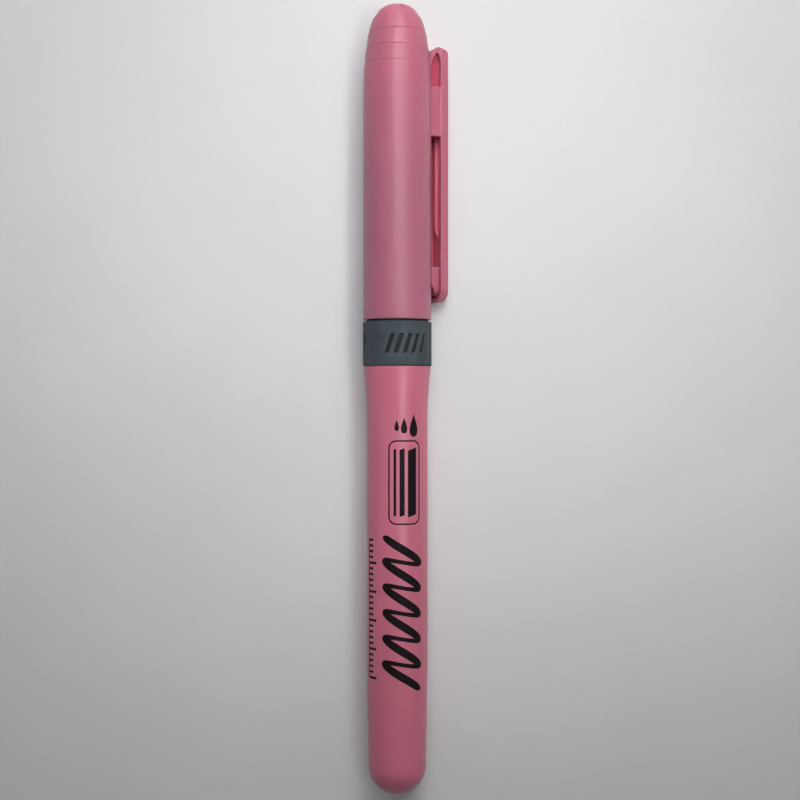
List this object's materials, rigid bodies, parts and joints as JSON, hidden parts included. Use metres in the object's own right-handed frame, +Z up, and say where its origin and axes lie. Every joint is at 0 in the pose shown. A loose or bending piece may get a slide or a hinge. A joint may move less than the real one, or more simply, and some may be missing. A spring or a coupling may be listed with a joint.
{
  "type": "capped highlighter pen",
  "caption": "Slim highlighter pen with a stepped pull-off cap, springy pocket clip, rubber grip ring and chisel nib.",
  "frame": {"origin": "bottom centre of the bounding box, on the surface that the pen lies on", "axes": "+Y along the pen toward the cap's crown, +Z up from the surface, +X toward the side where the clip rests"},
  "size_m": [0.015, 0.139, 0.0121],
  "materials": {
    "barrel_plastic": "smooth, semi-gloss, moulded polypropylene in rose pink",
    "cap_plastic": "satin with a fine moulded grain, rose pink",
    "grip_rubber": "matte dark grey soft rubber",
    "section_plastic": "smooth dark grey polypropylene",
    "seal_plastic": "natural milky polyethylene",
    "nib_fibre": "bonded polyester fibre soaked with pink ink",
    "reservoir_fibre": "fibre bundle soaked with pink ink",
    "reservoir_film": "thin clear film"
  },
  "bodies": {
    "barrel": {"barrel": "barrel_plastic", "front_section": "section_plastic", "grip_sleeve": "grip_rubber", "nib": "nib_fibre", "reservoir_core": "reservoir_fibre", "reservoir_film": "reservoir_film"},
    "cap": {"cap_shell": "cap_plastic", "cap_inner_seal": "seal_plastic", "clip_bridge": "cap_plastic"},
    "clip": {"clip_arm": "cap_plastic"}
  },
  "joints": [
    {"name": "cap_pull", "type": "slide", "parent": "barrel", "child": "cap", "axis": [0, 1, 0], "range_m": [0, 0.055]},
    {"name": "clip_flex", "type": "hinge", "parent": "cap", "child": "clip", "pos_m": [0.00598, 0.0455, 0.00249], "axis": [0.4296, 0, 0.903], "range_deg": [0, 4], "stiffness_Nm_per_rad": 0.25}
  ]
}
